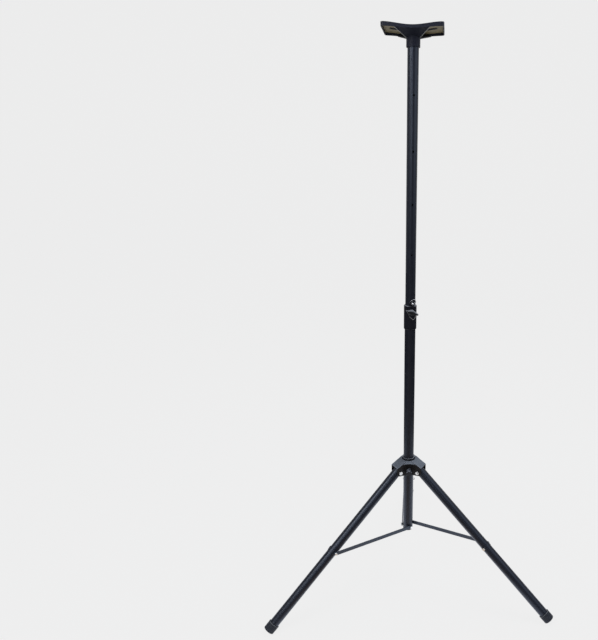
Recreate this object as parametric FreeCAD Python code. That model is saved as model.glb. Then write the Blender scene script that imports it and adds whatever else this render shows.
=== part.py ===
import FreeCAD, Part
import math
import os

# Floor speaker stand: a mast with a sliding pole, a tray, and three legs that fold like an umbrella.
# Millimetres and degrees, Z up, floor at Z = 0, mast axis on Z.
# The stand is modelled opened and raised, with the safety pin at the pole's lowest hole.

# Clearances
SLIDE_GAP = 0.3
RUN_GAP = 0.05
SEAT_GAP = 0.3

# Tubes
POLE_RADIUS = 17.5
POLE_WALL = 1.5
POLE_BORE = POLE_RADIUS - POLE_WALL
MAST_WALL = 1.2
MAST_BORE = POLE_RADIUS + SLIDE_GAP
MAST_RADIUS = MAST_BORE + MAST_WALL
LEG_RADIUS = 17.0
LEG_WALL = 1.5
LEG_BORE = LEG_RADIUS - LEG_WALL

# Fasteners
PIVOT_PIN_RADIUS = 3.0
PIVOT_HEX_WIDTH = 10.0
SPACER_WALL = 2.5
SPACER_RADIUS = PIVOT_PIN_RADIUS + SPACER_WALL
RIVET_ROUNDING = 2.5
HINGE_BOLT_RADIUS = 4.0
HINGE_HEAD_RADIUS = 7.2
HINGE_HEX_WIDTH = 13.0
HEX_NUT_THICKNESS = 5.0
BOLT_HEAD_THICKNESS = 4.0
BOLT_TAIL = 2.0
STUD_RADIUS = 4.0
NUT_WALL = 2.0
NUT_RADIUS = STUD_RADIUS + NUT_WALL

# Hub sleeve and its bush, round the mast
HUB_BORE = MAST_RADIUS + SLIDE_GAP
BUSH_WALL = 3.3
BUSH_RADIUS = HUB_BORE + BUSH_WALL
BUSH_DEPTH = 12.0
BUSH_LIP = 6.0
GROOVE_WIDTH = 2.4
GROOVE_DEPTH = 2.0
SLEEVE_WALL = 3.4
SLEEVE_RADIUS = BUSH_RADIUS + SLEEVE_WALL
SHOULDER_WIDTH = 1.0
HUB_SHOULDER = SLEEVE_RADIUS + SHOULDER_WIDTH
WEB_OVERHANG = 12.0
WEB_REACH = SLEEVE_RADIUS + WEB_OVERHANG

# Legs, seen in the upright plane of one leg; they stand a little turned against the tray, the rear one less
STAND_TURN = 6.6
REAR_LEG_TURN = 2.8
LEG_AZIMUTHS = {"left": 210.0 + STAND_TURN, "right": 330.0 + STAND_TURN, "rear": 90.0 + REAR_LEG_TURN}
SPREAD = 48.4
SPREAD_SINE = math.sin(math.radians(SPREAD))
SPREAD_COSINE = math.cos(math.radians(SPREAD))
LEG_LENGTH = 718.0
LEG_HEAD_RISE = 12.0
LEG_HEAD_LENGTH = 44.0
FOOT_WALL = 2.5
FOOT_RADIUS = LEG_RADIUS + FOOT_WALL
FOOT_LENGTH = 31.0
FOOT_SOLE = 8.0
FOOT_ROUNDING = 3.0
FOOT_FLAT_DEPTH = 4.1
HINGE_ROOM = 6.0
HINGE_RADIUS = SLEEVE_RADIUS + LEG_RADIUS + HINGE_ROOM
HINGE_HEIGHT = LEG_LENGTH * SPREAD_COSINE + FOOT_RADIUS * SPREAD_SINE - FOOT_FLAT_DEPTH

# Hub arms over the leg hinges
HUB_SLOPE = 28.5
HUB_FALL = math.tan(math.radians(HUB_SLOPE))
ARM_OVERHANG = 14.0
ARM_REACH = HINGE_RADIUS + ARM_OVERHANG
PLATE_THICKNESS = 4.0
ROOF_GAP = 1.65
LEG_HEAD_SWEEP = math.hypot(LEG_HEAD_RISE, LEG_RADIUS)
ROOF_RISE = (LEG_HEAD_SWEEP + ROOF_GAP) / math.cos(math.radians(HUB_SLOPE)) + PLATE_THICKNESS
HUB_TOP = HINGE_HEIGHT + ROOF_RISE + (HINGE_RADIUS - HUB_SHOULDER) * HUB_FALL
HUB_DROP = 17.5
HUB_BOTTOM = HINGE_HEIGHT - HUB_DROP
CHEEK_GAP = 0.8
CHEEK_THICKNESS = 3.6
CHEEK_INNER = LEG_RADIUS + CHEEK_GAP
CHEEK_OUTER = CHEEK_INNER + CHEEK_THICKNESS

# Lock knob between the two front arms
LOCK_AZIMUTH = STAND_TURN - 90.0
LOCK_RISE = -0.5
LOCK_HEIGHT = HINGE_HEIGHT + LOCK_RISE
LOCK_BOSS_WALL = 3.5
LOCK_BOSS_RADIUS = NUT_RADIUS + LOCK_BOSS_WALL
LOCK_BOSS_LENGTH = 13.0
LOCK_BOSS_END = SLEEVE_RADIUS + LOCK_BOSS_LENGTH
LOCK_KNOB_RADIUS = 10.5
LOCK_KNOB_LENGTH = 10.0
LOCK_KNOB_START = LOCK_BOSS_END + SEAT_GAP
SCALLOP_COUNT = 8
SCALLOP_RADIUS = 3.2
SCALLOP_DEPTH = 1.2

# Struts, beside the legs and the mast
STRUT_STATION = 370.0
STRUT_WIDTH = 14.0
STRUT_THICKNESS = 3.0
INNER_PIVOT_HEIGHT = 231.5
CLIP_THICKNESS = 1.6
CLIP_WIDTH = 16.0
EAR_RADIUS = 9.0
CLIP_FACE = LEG_RADIUS + CLIP_THICKNESS
SPACER_THICKNESS = 1.2
STRUT_FACE = max(CLIP_FACE, MAST_RADIUS) + SEAT_GAP + SPACER_THICKNESS
STRUT_BACK = STRUT_FACE + STRUT_THICKNESS
STRUT_REACH = HINGE_RADIUS + STRUT_STATION * SPREAD_SINE
STRUT_RISE = HINGE_HEIGHT - STRUT_STATION * SPREAD_COSINE - INNER_PIVOT_HEIGHT
STRUT_LENGTH = math.hypot(STRUT_REACH, STRUT_RISE)

# Mast and its end plug
PLUG_DEPTH = 6.0
PLUG_FLANGE = 4.0
PIVOT_ROOM = 2.0
MAST_BOTTOM = INNER_PIVOT_HEIGHT - PIVOT_PIN_RADIUS - PIVOT_ROOM - PLUG_DEPTH
MAST_LENGTH = 870.5
MAST_TOP = MAST_BOTTOM + MAST_LENGTH

# Collar on the mast's top, with its clamp boss
COLLAR_WALL = 3.0
COLLAR_RADIUS = MAST_RADIUS + COLLAR_WALL
COLLAR_GRIP = 53.0
COLLAR_BOTTOM = MAST_TOP - COLLAR_GRIP
COLLAR_LIP = 12.0
COLLAR_CHAMFER = 2.0
CLAMP_AZIMUTH = -76.2
CLAMP_RISE = 13.0
CLAMP_HEIGHT = MAST_TOP + CLAMP_RISE
CLAMP_BOSS_WALL = 2.0
CLAMP_BOSS_RADIUS = NUT_RADIUS + CLAMP_BOSS_WALL
CLAMP_BOSS_LENGTH = 7.0
CLAMP_BOSS_END = COLLAR_RADIUS + CLAMP_BOSS_LENGTH
COLLAR_TOP = CLAMP_HEIGHT + CLAMP_BOSS_RADIUS + COLLAR_LIP

# Wing knob on the clamp boss
KNOB_START = CLAMP_BOSS_END + SEAT_GAP
KNOB_NECK_LENGTH = 6.0
KNOB_CORE_WALL = 4.0
KNOB_CORE_RADIUS = STUD_RADIUS + KNOB_CORE_WALL
WING_START = KNOB_START + KNOB_NECK_LENGTH
WING_DEPTH = 8.0
WING_SPAN = 46.0
WING_TIP_HEIGHT = 5.0
WING_WAIST_HEIGHT = 20.0
WING_TILT = 20.0

# Safety pin above the wing knob, its lug on the collar, and the pull ring
PIN_AZIMUTH = -73.2
PIN_RADIUS = 3.0
PIN_ROLL = 25.0
PIN_HEAD_RADIUS = 3.4
PIN_HEAD_WIDTH = 4.4
PIN_ROOM = 3.6
PIN_HEIGHT = CLAMP_HEIGHT + WING_SPAN / 2 + PIN_ROOM + PIN_HEAD_RADIUS
LUG_WALL = 4.5
LUG_RADIUS = PIN_RADIUS + LUG_WALL
LUG_STEP = 0.5
LUG_FACE = COLLAR_RADIUS - LUG_STEP
FLANGE_RADIUS = 5.0
FLANGE_LENGTH = 4.0
FLANGE_START = LUG_FACE + SEAT_GAP
FLANGE_END = FLANGE_START + FLANGE_LENGTH
PIN_NECK = 6.2
PIN_HEAD_STATION = FLANGE_END + PIN_NECK
RING_RADIUS = 8.0
RING_WIRE_RADIUS = 0.8
RING_PLAY = 0.8
RING_HOLE_RADIUS = RING_WIRE_RADIUS + RING_PLAY

# Lanyard: points as turn from the pin (degrees), radius from the mast axis, height above the pin
CORD_RADIUS = 0.9
CORD_ARC_SHARE = 0.45
LANYARD_BENDS = [
    (33.0, 28.0, -13.5),
    (34.0, 28.0, -25.0),
    (28.5, 28.0, -40.0),
    (21.0, 27.5, -54.0),
    (8.0, 27.5, -57.5),
    (-10.0, 28.0, -50.0),
    (-26.0, 27.5, -39.0),
    (-38.0, 26.5, -30.0),
]
FERRULE_RADIUS = 1.6
FERRULE_LENGTH = 7.0
ANCHOR_TURN = -45.0
ANCHOR_DROP = -24.0
ANCHOR_HEAD_RADIUS = 4.0
ANCHOR_HEAD_LENGTH = 5.0
ANCHOR_SHANK_RADIUS = 2.0

# Pole and its pin holes
POLE_OVERLAP = 201.0
POLE_BOTTOM = PIN_HEIGHT - POLE_OVERLAP
POLE_LENGTH = 1021.8
POLE_TOP = POLE_BOTTOM + POLE_LENGTH
HOLE_PITCH = 162.0
HOLE_COUNT = 5
HOLE_PLAY = 0.3
HOLE_RADIUS = PIN_RADIUS + HOLE_PLAY
PLUG_LENGTH = 20.0

# Tray on the pole's top
TRAY_LENGTH = 184.0
TRAY_DEPTH = 136.0
TRAY_SAG = 8.0
DISH_STEPS = 16
TRAY_CORNER = 10.0
TRAY_PLATE = 3.5
RIM_DEPTH = 11.5
RIM_SAG = 5.0
RIM_WALL = 3.0
RIM_MIDDLE = TRAY_SAG - RIM_SAG - RIM_DEPTH
SOCKET_BORE = POLE_RADIUS + SLIDE_GAP
SOCKET_WALL = 3.4
SOCKET_RADIUS = SOCKET_BORE + SOCKET_WALL
SOCKET_LENGTH = 47.5
SOCKET_ROOF = 3.0
TRAY_CENTRE_TOP = POLE_TOP + SEAT_GAP + SOCKET_ROOF + TRAY_PLATE
TRAY_HOLE_RADIUS = 14.0
SLOT_MARGIN = 4.8
SLOT_INNER = SOCKET_RADIUS + SLOT_MARGIN
SLOT_LENGTH = 43.0
SLOT_OUTER = SLOT_INNER + SLOT_LENGTH
SLOT_RADIUS = 4.5
GUSSET_TOP_WIDTH = 102.0
GUSSET_DROP = 22.5
GUSSET_LAP = 2.0
GUSSET_THICKNESS = 3.5

X_AXIS = FreeCAD.Vector(1, 0, 0)
Y_AXIS = FreeCAD.Vector(0, 1, 0)
Z_AXIS = FreeCAD.Vector(0, 0, 1)
ORIGIN = FreeCAD.Vector(0, 0, 0)


# Shapes

def rod(radius, start, end, axis=Z_AXIS, centre=ORIGIN):
    """Solid cylinder along an axis, from one station to another."""
    return Part.makeCylinder(radius, end - start, centre + axis * start, axis)


def pipe(outer, inner, start, end, axis=Z_AXIS, centre=ORIGIN):
    """Hollow cylinder along an axis."""
    return rod(outer, start, end, axis, centre).cut(rod(inner, start, end, axis, centre))


def hexagon(across, start, end, axis, centre):
    """Hexagonal prism along an axis, given its width across flats."""
    corner = across / math.sqrt(3)
    turn = FreeCAD.Rotation(Z_AXIS, axis)
    angles = [math.radians(60 * i) for i in range(7)]
    points = [FreeCAD.Vector(corner * math.cos(a), corner * math.sin(a), start) for a in angles]
    points = [turn.multVec(point) + centre for point in points]
    return Part.Face(Part.makePolygon(points)).extrude(axis * (end - start))


def prism(points, direction):
    """Flat polygon through the points, extruded along a vector."""
    vectors = [FreeCAD.Vector(*point) for point in points]
    return Part.Face(Part.makePolygon(vectors + vectors[:1])).extrude(direction)


def slab(profile, half_width):
    """Profile in the X-Z plane, as thick as twice the half width along Y."""
    points = [(x, -half_width, z) for x, z in profile]
    return prism(points, Y_AXIS * (2 * half_width))


def drilled(shape, radius, axis=Z_AXIS, centre=ORIGIN, outward_only=False):
    """The shape with a round hole right through it, or only from the centre outward."""
    box = shape.BoundBox
    reach = box.DiagonalLength + centre.distanceToPoint(box.Center)
    start = 0 if outward_only else -reach
    return shape.cut(rod(radius, start, reach, axis, centre))


def round_edges(shape):
    """Circular edges of a shape."""
    return [edge for edge in shape.Edges if isinstance(edge.Curve, Part.Circle)]


def turned(shape, azimuth):
    """The shape turned about the mast axis."""
    return shape.rotated(ORIGIN, Z_AXIS, azimuth)


def outward(azimuth):
    """Level direction away from the mast axis."""
    return FreeCAD.Rotation(Z_AXIS, azimuth).multVec(X_AXIS)


def in_leg_frame(shape, azimuth):
    """Move a shape from the leg's own frame (hinge at the origin, leg along X) into place."""
    tilted = shape.rotated(ORIGIN, Y_AXIS, 90 - SPREAD)
    return turned(tilted.translated(FreeCAD.Vector(HINGE_RADIUS, 0, HINGE_HEIGHT)), azimuth)


def in_strut_frame(shape, azimuth):
    """Move a shape from the strut's own frame (inner pivot at the origin, bar along X) into place."""
    tilted = shape.rotated(ORIGIN, Y_AXIS, -math.degrees(math.atan2(STRUT_RISE, STRUT_REACH)))
    return turned(tilted.translated(Z_AXIS * INNER_PIVOT_HEIGHT), azimuth)


def in_pin_frame(shape):
    """Move a shape from the pin's own frame (axis along X, mast axis at the origin) into place."""
    return turned(shape.translated(Z_AXIS * PIN_HEIGHT), PIN_AZIMUTH)


# Mast

def mast_tube():
    """Outer tube, drilled at three places for the strut bolts."""
    tube = pipe(MAST_RADIUS, MAST_BORE, MAST_BOTTOM, MAST_TOP)
    for azimuth in LEG_AZIMUTHS.values():
        tube = drilled(tube, PIVOT_PIN_RADIUS, outward(azimuth + 90), Z_AXIS * INNER_PIVOT_HEIGHT, True)
    return tube


def mast_end_plug():
    """Plug in the mast's lower end, with a flange under the tube."""
    plug = rod(MAST_BORE, MAST_BOTTOM, MAST_BOTTOM + PLUG_DEPTH)
    flange = rod(MAST_RADIUS, MAST_BOTTOM - PLUG_FLANGE, MAST_BOTTOM)
    return plug.fuse(flange).removeSplitter()


def inner_bolt(azimuth):
    """Bolt in the mast wall that carries a strut's inner end, with a spacer behind the strut."""
    centre = Z_AXIS * INNER_PIVOT_HEIGHT
    head_start = STRUT_BACK + SEAT_GAP
    spacer = rod(SPACER_RADIUS, 0, STRUT_FACE - SEAT_GAP, Y_AXIS, centre)
    spacer = spacer.cut(rod(MAST_RADIUS, MAST_BOTTOM, MAST_TOP))
    shank = rod(PIVOT_PIN_RADIUS, MAST_BORE - BOLT_TAIL, head_start, Y_AXIS, centre)
    head = hexagon(PIVOT_HEX_WIDTH, head_start, head_start + BOLT_HEAD_THICKNESS, Y_AXIS, centre)
    return turned(spacer.fuse([shank, head]).removeSplitter(), azimuth)


def collar():
    """Moulded collar: a sleeve, the clamp boss with its nut pocket, and the lug for the safety pin."""
    sleeve = rod(COLLAR_RADIUS, COLLAR_BOTTOM, COLLAR_TOP)
    sleeve = sleeve.makeChamfer(COLLAR_CHAMFER, round_edges(sleeve))
    boss = rod(CLAMP_BOSS_RADIUS, 0, CLAMP_BOSS_END, X_AXIS, Z_AXIS * CLAMP_HEIGHT)
    lug = slab([(0, CLAMP_HEIGHT), (COLLAR_RADIUS, CLAMP_HEIGHT),
                (COLLAR_RADIUS, PIN_HEIGHT), (0, PIN_HEIGHT)], LUG_RADIUS)
    lug = lug.fuse(rod(LUG_RADIUS, 0, COLLAR_RADIUS, X_AXIS, Z_AXIS * PIN_HEIGHT))
    lug = lug.common(rod(LUG_FACE, CLAMP_HEIGHT, PIN_HEIGHT + LUG_RADIUS))
    body = sleeve.fuse([turned(boss, CLAMP_AZIMUTH), turned(lug, PIN_AZIMUTH)])
    body = drilled(body, MAST_BORE)
    body = body.cut(rod(MAST_RADIUS, COLLAR_BOTTOM, MAST_TOP))
    body = drilled(body, NUT_RADIUS, outward(CLAMP_AZIMUTH), Z_AXIS * CLAMP_HEIGHT, True)
    body = drilled(body, PIN_RADIUS + RUN_GAP, outward(PIN_AZIMUTH), Z_AXIS * PIN_HEIGHT, True)
    anchor = Z_AXIS * (PIN_HEIGHT + ANCHOR_DROP)
    body = drilled(body, ANCHOR_SHANK_RADIUS, outward(PIN_AZIMUTH + ANCHOR_TURN), anchor, True)
    return body.removeSplitter()


def threaded_bush(end, bore, height, azimuth):
    """Bush pressed into a boss, from the tube's surface to the end of the boss."""
    bush = pipe(NUT_RADIUS, STUD_RADIUS + RUN_GAP, 0, end, X_AXIS, Z_AXIS * height)
    return turned(drilled(bush, bore), azimuth)


def clamp_nut():
    """Threaded bush in the collar boss."""
    return threaded_bush(CLAMP_BOSS_END, MAST_BORE, CLAMP_HEIGHT, CLAMP_AZIMUTH)


# Clamp knob

def clamp_stud():
    """Screw that the wing knob turns against the pole."""
    return turned(rod(STUD_RADIUS, MAST_BORE, WING_START, X_AXIS, Z_AXIS * CLAMP_HEIGHT), CLAMP_AZIMUTH)


def clamp_knob():
    """Wing knob: a neck round the stud, and a wing across its end that narrows to its tips."""
    wing_end = WING_START + WING_DEPTH
    neck = pipe(KNOB_CORE_RADIUS, STUD_RADIUS, KNOB_START, WING_START, X_AXIS)
    core = rod(KNOB_CORE_RADIUS, WING_START, wing_end, X_AXIS)
    half, tip, waist = WING_SPAN / 2, WING_TIP_HEIGHT / 2, WING_WAIST_HEIGHT / 2
    outline = [(-half, -tip), (0, -waist), (half, -tip), (half, tip), (0, waist), (-half, tip)]
    wing = prism([(WING_START, y, z) for y, z in outline], X_AXIS * WING_DEPTH)
    wing = wing.common(rod(half, WING_START, wing_end, X_AXIS))
    knob = neck.fuse([core, wing]).removeSplitter()
    knob = knob.rotated(ORIGIN, X_AXIS, -WING_TILT).translated(Z_AXIS * CLAMP_HEIGHT)
    return turned(knob, CLAMP_AZIMUTH)


# Safety pin, pull ring and lanyard

def safety_pin():
    """Pin with a stop flange and a flattened ball head, cross drilled for the ring."""
    shaft = rod(PIN_RADIUS, MAST_BORE, PIN_HEAD_STATION, X_AXIS)
    flange = rod(FLANGE_RADIUS, FLANGE_START, FLANGE_END, X_AXIS)
    ball = Part.makeSphere(PIN_HEAD_RADIUS, X_AXIS * PIN_HEAD_STATION)
    low, high = PIN_HEAD_STATION - 2 * PIN_HEAD_RADIUS, PIN_HEAD_STATION + 2 * PIN_HEAD_RADIUS
    side = 2 * PIN_HEAD_RADIUS
    head = ball.common(slab([(low, -side), (high, -side), (high, side), (low, side)], PIN_HEAD_WIDTH / 2))
    pin = drilled(shaft.fuse([flange, head]), RING_HOLE_RADIUS, Y_AXIS, X_AXIS * PIN_HEAD_STATION)
    return in_pin_frame(pin.removeSplitter().rotated(ORIGIN, X_AXIS, -PIN_ROLL))


def pin_ring():
    """Pull ring, standing upright in the hole of the pin's head."""
    centre = FreeCAD.Vector(PIN_HEAD_STATION, 0, RING_RADIUS)
    ring = Part.makeTorus(RING_RADIUS, RING_WIRE_RADIUS, centre, X_AXIS)
    return in_pin_frame(ring.rotated(ORIGIN, X_AXIS, -PIN_ROLL))


def lanyard_points():
    """Route of the lanyard in the pin's frame, from the ferrule at the pin to the ferrule at the mast."""
    bends = [outward(turn) * radius + Z_AXIS * height for turn, radius, height in LANYARD_BENDS]
    flange_middle = X_AXIS * ((FLANGE_START + FLANGE_END) / 2)
    along = (bends[0] - flange_middle).normalize()
    return [flange_middle + along * (FLANGE_RADIUS + FERRULE_LENGTH)] + bends


def pin_ferrule():
    """Crimp sleeve between the pin's flange and the lanyard, in line with the lanyard's first run."""
    start, first_bend = lanyard_points()[:2]
    along = (first_bend - start).normalize()
    sleeve = rod(FERRULE_RADIUS, -FERRULE_LENGTH - FERRULE_RADIUS, 0, along, start)
    return in_pin_frame(sleeve.cut(rod(FLANGE_RADIUS, FLANGE_START, FLANGE_END, X_AXIS)))


def rounded_path(points):
    """Straight runs joined by tangent arcs, as one wire."""
    edges = []
    last = points[0]
    for before, corner, after in zip(points, points[1:], points[2:]):
        back = (before - corner).normalize()
        ahead = (after - corner).normalize()
        trim = CORD_ARC_SHARE * min(corner.distanceToPoint(before), corner.distanceToPoint(after))
        half_turn = (math.pi - back.getAngle(ahead)) / 2
        radius = trim / math.tan(half_turn)
        bisector = (back + ahead).normalize()
        middle = corner + bisector * (radius / math.cos(half_turn) - radius)
        start, end = corner + back * trim, corner + ahead * trim
        edges.append(Part.LineSegment(last, start).toShape())
        edges.append(Part.Arc(start, middle, end).toShape())
        print("lanyard bend radius", round(radius, 1), "turn", round(math.degrees(2 * half_turn), 1))
        last = end
    edges.append(Part.LineSegment(last, points[-1]).toShape())
    return Part.Wire(edges)


def lanyard():
    """Thin wire cord that hangs in a loop from the pin round to the collar."""
    points = lanyard_points()
    path = rounded_path(points)
    section = Part.Wire(Part.makeCircle(CORD_RADIUS, points[0], points[1] - points[0]))
    cord = path.makePipeShell([section], True, False)
    tube_volume = math.pi * CORD_RADIUS ** 2 * path.Length
    print("lanyard length", round(path.Length, 1), "volume ratio", round(cord.Volume / tube_volume, 4))
    return in_pin_frame(cord)


def anchor_screw():
    """Pan head screw in the collar that holds the lanyard's lower end."""
    head = rod(ANCHOR_HEAD_RADIUS, COLLAR_RADIUS, COLLAR_RADIUS + ANCHOR_HEAD_LENGTH, X_AXIS)
    shank = rod(ANCHOR_SHANK_RADIUS, MAST_BORE + SEAT_GAP, COLLAR_RADIUS, X_AXIS)
    screw = head.fuse(shank).removeSplitter().translated(Z_AXIS * ANCHOR_DROP)
    return in_pin_frame(turned(screw, ANCHOR_TURN))


def mast_ferrule():
    """Crimp sleeve that runs on from the lanyard's lower end to the screw."""
    points = lanyard_points()
    along = (points[-1] - points[-2]).normalize()
    sleeve = in_pin_frame(rod(FERRULE_RADIUS, 0, FERRULE_LENGTH, along, points[-1]))
    pieces = sleeve.cut(anchor_screw()).Solids
    return max(pieces, key=lambda piece: piece.Volume)


# Pole

def inner_pole():
    """Sliding tube with a row of cross holes for the safety pin."""
    tube = pipe(POLE_RADIUS, POLE_BORE, POLE_BOTTOM, POLE_TOP)
    for i in range(HOLE_COUNT):
        tube = drilled(tube, HOLE_RADIUS, outward(PIN_AZIMUTH), Z_AXIS * (PIN_HEIGHT + i * HOLE_PITCH))
    return tube


def pole_foot_plug():
    """Plug in the pole's lower end, with a flange under the tube."""
    inside = rod(POLE_BORE, POLE_BOTTOM, POLE_BOTTOM + PLUG_LENGTH)
    flange = rod(POLE_RADIUS, POLE_BOTTOM - PLUG_FLANGE, POLE_BOTTOM)
    return inside.fuse(flange).removeSplitter()


def pole_head_plug():
    """Plug in the pole's top end, inside the tray's socket."""
    return rod(POLE_BORE, POLE_TOP - PLUG_LENGTH, POLE_TOP)


# Tray, with heights measured from the middle of its top

def dish_curve(middle, sag):
    """Curve along the tray that is level at its middle and both ends, and rises by the sag between them."""
    shares = [2 * i / DISH_STEPS - 1 for i in range(DISH_STEPS + 1)]
    rises = [sag * (1 - math.cos(math.pi * share)) / 2 for share in shares]
    points = [FreeCAD.Vector(share * TRAY_LENGTH / 2, -TRAY_DEPTH / 2, middle + rise)
              for share, rise in zip(shares, rises)]
    curve = Part.BSplineCurve()
    curve.interpolate(points)
    return curve.toShape()


def dished_block(low, low_sag, high, high_sag):
    """Block between two dish curves, over the tray's whole length and depth."""
    below, above = dish_curve(low, low_sag), dish_curve(high, high_sag)
    ends = [Part.LineSegment(below.valueAt(end), above.valueAt(end)).toShape()
            for end in (below.FirstParameter, below.LastParameter)]
    outline = Part.Wire(Part.__sortEdges__([below, ends[1], above, ends[0]]))
    return Part.makeFace(outline, "Part::FaceMakerSimple").extrude(Y_AXIS * TRAY_DEPTH)


def tray_outline(inset):
    """Upright block with the tray's rounded outline, smaller by an inset all round."""
    length, depth = TRAY_LENGTH - 2 * inset, TRAY_DEPTH - 2 * inset
    block = Part.makeBox(length, depth, 2 * TRAY_DEPTH, FreeCAD.Vector(-length / 2, -depth / 2, -TRAY_DEPTH))
    upright = [edge for edge in block.Edges if abs(edge.tangentAt(edge.FirstParameter).z) > 0.5]
    return block.makeFillet(TRAY_CORNER - inset, upright)


def tray_slot():
    """Cutter for the slot on the tray's right side."""
    first, last = SLOT_INNER + SLOT_RADIUS, SLOT_OUTER - SLOT_RADIUS
    low, high = -SOCKET_LENGTH, SOCKET_LENGTH
    bar = Part.makeBox(last - first, 2 * SLOT_RADIUS, high - low, FreeCAD.Vector(first, -SLOT_RADIUS, low))
    ends = [rod(SLOT_RADIUS, low, high, Z_AXIS, X_AXIS * x) for x in (first, last)]
    return bar.fuse(ends).removeSplitter()


def tray_gusset():
    """Sloping web at the rear, between the rim and the socket."""
    rim = (TRAY_DEPTH - RIM_WALL) / 2
    high = RIM_MIDDLE + GUSSET_LAP
    wide, narrow = GUSSET_TOP_WIDTH / 2, SOCKET_RADIUS
    outline = [(-wide, rim, high), (wide, rim, high),
               (narrow, SOCKET_RADIUS / 2, -GUSSET_DROP), (-narrow, SOCKET_RADIUS / 2, -GUSSET_DROP)]
    return prism(outline, Z_AXIS * GUSSET_THICKNESS)


def tray():
    """Dished tray with a rim, two slots, a socket over the pole, and a gusset at the front and the rear."""
    body = dished_block(RIM_MIDDLE, RIM_SAG, 0, TRAY_SAG).common(tray_outline(0))
    recess = dished_block(-SOCKET_LENGTH, TRAY_SAG, -TRAY_PLATE, TRAY_SAG).common(tray_outline(RIM_WALL))
    body = body.cut(recess)
    socket = rod(SOCKET_RADIUS, -SOCKET_LENGTH, -TRAY_PLATE / 2)
    body = body.fuse([socket, tray_gusset(), turned(tray_gusset(), 180)])
    roof = -TRAY_PLATE - SOCKET_ROOF
    body = body.cut([rod(SOCKET_BORE, -SOCKET_LENGTH, roof), tray_slot(), turned(tray_slot(), 180)])
    return drilled(body, TRAY_HOLE_RADIUS).removeSplitter().translated(Z_AXIS * TRAY_CENTRE_TOP)


# Hub

def hub_top_at(radius):
    """Height of the hub's sloping top at a distance from the mast axis."""
    return HUB_TOP - (radius - HUB_SHOULDER) * HUB_FALL


def hub_arm():
    """One arm along X: a sloping roof with a cheek at each side, rounded below about the hinge."""
    top_in, top_out = hub_top_at(0), hub_top_at(ARM_REACH)
    corners = [FreeCAD.Vector(x, -CHEEK_OUTER, z) for x, z in (
        (HINGE_RADIUS, HINGE_HEIGHT - ARM_OVERHANG), (0, HUB_BOTTOM), (0, top_in),
        (ARM_REACH, top_out), (ARM_REACH, HINGE_HEIGHT))]
    bulge = ARM_OVERHANG / math.sqrt(2)
    lower_end = FreeCAD.Vector(HINGE_RADIUS + bulge, -CHEEK_OUTER, HINGE_HEIGHT - bulge)
    edges = [Part.LineSegment(a, b).toShape() for a, b in zip(corners, corners[1:])]
    edges.append(Part.Arc(corners[-1], lower_end, corners[0]).toShape())
    block = Part.Face(Part.Wire(edges)).extrude(Y_AXIS * (2 * CHEEK_OUTER))
    channel = slab([(0, top_in - PLATE_THICKNESS), (ARM_REACH, top_out - PLATE_THICKNESS),
                    (ARM_REACH, HUB_BOTTOM), (0, HUB_BOTTOM)], CHEEK_INNER)
    return block.cut(channel)


def hub_web():
    """Sloping roof between the arms, with a straight edge on each of its three sides."""
    corners = [outward(azimuth) * (2 * WEB_REACH) for azimuth in LEG_AZIMUTHS.values()]
    triangle = prism([(c.x, c.y, HUB_BOTTOM) for c in corners], Z_AXIS * (HUB_TOP - HUB_BOTTOM))
    low = hub_top_at(HINGE_RADIUS)
    cone = Part.makeCone(HINGE_RADIUS, HUB_SHOULDER, HUB_TOP - low, Z_AXIS * low)
    shell = cone.cut(cone.translated(Z_AXIS * -PLATE_THICKNESS))
    return shell.common(triangle)


def hub():
    """Moulded hub: a sleeve on the mast, three arms, webs between them and the lock boss."""
    sleeve = rod(SLEEVE_RADIUS, HUB_BOTTOM, HUB_TOP)
    arms = [turned(hub_arm(), azimuth) for azimuth in LEG_AZIMUTHS.values()]
    boss = rod(LOCK_BOSS_RADIUS, 0, LOCK_BOSS_END, X_AXIS, Z_AXIS * LOCK_HEIGHT)
    body = sleeve.fuse(arms + [hub_web(), turned(boss, LOCK_AZIMUTH)])
    body = body.cut(rod(ARM_REACH, HUB_TOP, HUB_TOP + ARM_REACH))
    body = drilled(body, HUB_BORE)
    body = body.cut(rod(BUSH_RADIUS, HUB_TOP - BUSH_DEPTH, HUB_TOP))
    body = body.cut(rod(BUSH_RADIUS + GROOVE_WIDTH, HUB_TOP - GROOVE_DEPTH, HUB_TOP))
    body = drilled(body, NUT_RADIUS, outward(LOCK_AZIMUTH), Z_AXIS * LOCK_HEIGHT, True)
    for azimuth in LEG_AZIMUTHS.values():
        hinge = outward(azimuth) * HINGE_RADIUS + Z_AXIS * HINGE_HEIGHT
        across = outward(azimuth + 90)
        body = body.cut(rod(HINGE_BOLT_RADIUS, -CHEEK_OUTER, CHEEK_OUTER, across, hinge))
    return body.removeSplitter()


def hub_bush():
    """Plain bush in the hub's mouth, with a lip standing proud."""
    return pipe(BUSH_RADIUS, HUB_BORE, HUB_TOP - BUSH_DEPTH, HUB_TOP + BUSH_LIP)


def hub_lock_nut():
    """Threaded bush in the lock boss."""
    return threaded_bush(LOCK_BOSS_END, HUB_BORE, LOCK_HEIGHT, LOCK_AZIMUTH)


def hub_lock_stud():
    """Screw that the lock knob turns against the mast."""
    end = LOCK_KNOB_START + LOCK_KNOB_LENGTH / 2
    return turned(rod(STUD_RADIUS, HUB_BORE, end, X_AXIS, Z_AXIS * LOCK_HEIGHT), LOCK_AZIMUTH)


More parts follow.
